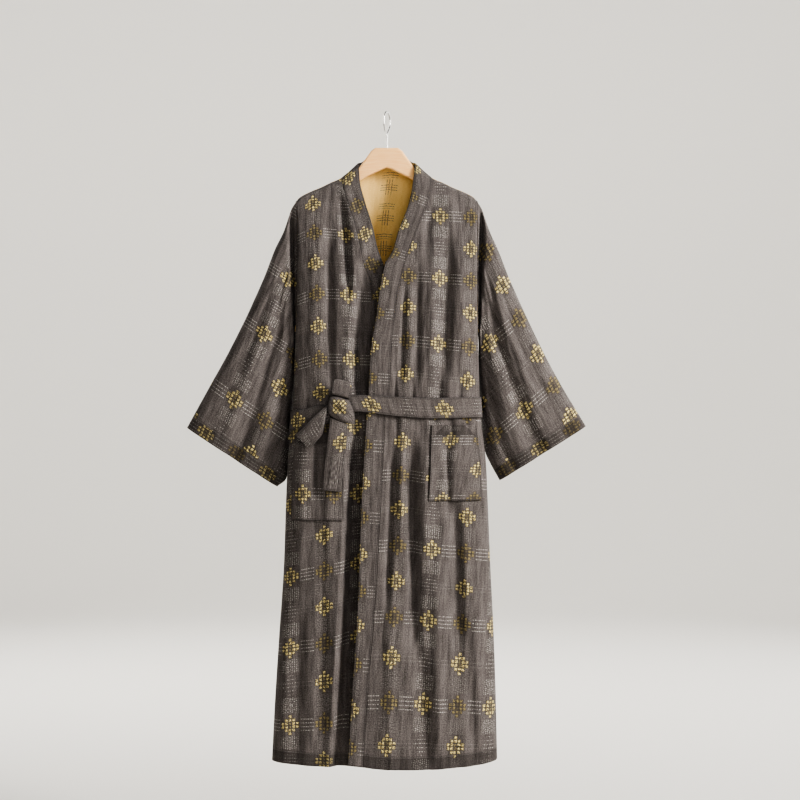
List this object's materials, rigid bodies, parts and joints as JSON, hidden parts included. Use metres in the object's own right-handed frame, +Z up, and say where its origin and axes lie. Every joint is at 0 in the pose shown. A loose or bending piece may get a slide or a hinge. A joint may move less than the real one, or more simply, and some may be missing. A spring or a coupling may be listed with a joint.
{
  "type": "cotton yukata robe on a wooden hanger",
  "caption": "Woven cotton wrap robe with wide sleeves, collar band, patch pockets and a tied belt, hanging on a wooden hanger with a steel hook.",
  "frame": {"origin": "inner top of the hanger's hook, where it rests on a rail or peg", "axes": "+Z up, +Y from the robe's front to its back, +X towards the wearer's left side"},
  "size_m": [0.839, 0.1479, 1.3747],
  "materials": {
    "robe_cotton": "grey-brown double weave with woven gold and pale marks, mustard on the inside",
    "hanger_wood": "smooth pale wood, satin",
    "hook_steel": "bright bent wire"
  },
  "bodies": {
    "root": {"back": "robe_cotton", "front_left_over": "robe_cotton", "front_right_under": "robe_cotton", "collar_band": "robe_cotton", "sleeve_left": "robe_cotton", "sleeve_right": "robe_cotton", "pocket_left": "robe_cotton", "pocket_right": "robe_cotton", "belt_wrap": "robe_cotton", "belt_knot": "robe_cotton", "belt_loop": "robe_cotton", "belt_tail_long": "robe_cotton", "belt_tail_short": "robe_cotton", "hanger_board": "hanger_wood", "hanger_hook": "hook_steel"}
  },
  "joints": []
}
